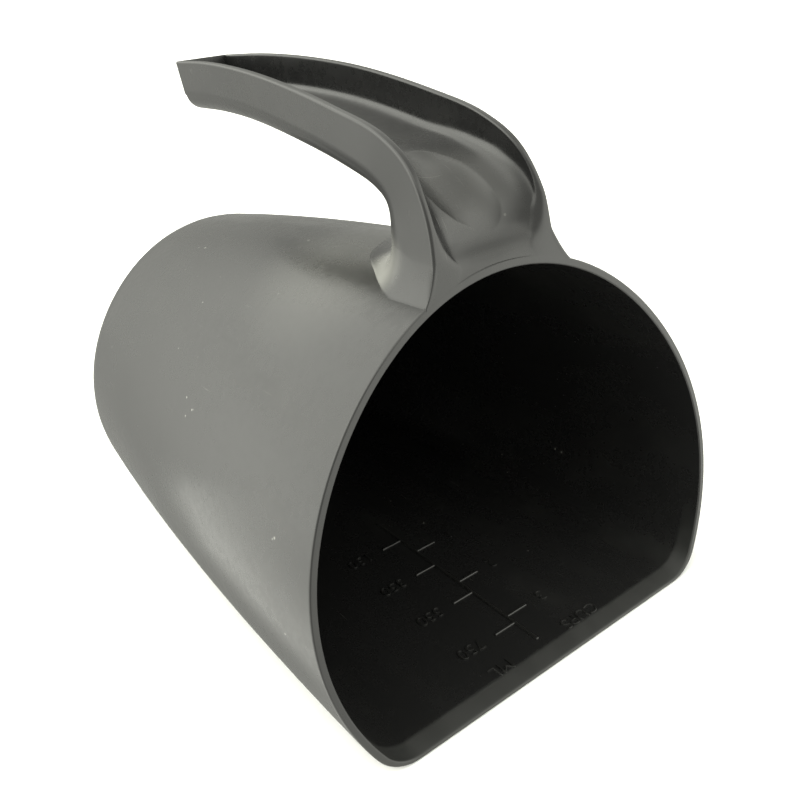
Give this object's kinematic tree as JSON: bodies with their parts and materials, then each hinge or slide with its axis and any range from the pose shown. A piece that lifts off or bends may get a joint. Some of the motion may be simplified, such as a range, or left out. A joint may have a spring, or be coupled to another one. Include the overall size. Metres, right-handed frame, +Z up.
{
  "type": "feed scoop",
  "caption": "D-shaped tapering hand scoop for loose feed, with a raked mouth, a flat graduated floor and an open-channel grip that reaches back over the bowl.",
  "frame": {"origin": "centre of the flat underside, at the bottom centre of the bounding box", "axes": "+Z up, -Y out of the mouth, +Y towards the closed end along the longest side, +X to the right of someone who looks into the mouth"},
  "size_m": [0.1334, 0.2034, 0.153],
  "materials": {
    "bowl_plastic": "dark grey polypropylene, semi-gloss with a fine moulded texture and light scuffs",
    "grip_plastic": "the same plastic, a little glossier where the hand rubs it",
    "scale_plastic": "the same plastic, raised marks with a duller top"
  },
  "bodies": {
    "root": {"bowl_floor": "bowl_plastic", "pouring_lip": "bowl_plastic", "bowl_left_wall": "bowl_plastic", "bowl_right_wall": "bowl_plastic", "bowl_crown": "bowl_plastic", "bowl_back": "bowl_plastic", "neck": "grip_plastic", "thumb_rest": "grip_plastic", "grip_floor": "grip_plastic", "grip_left_wall": "grip_plastic", "grip_right_wall": "grip_plastic", "grip_end_wall": "grip_plastic", "scale_marks": "scale_plastic"}
  },
  "joints": []
}
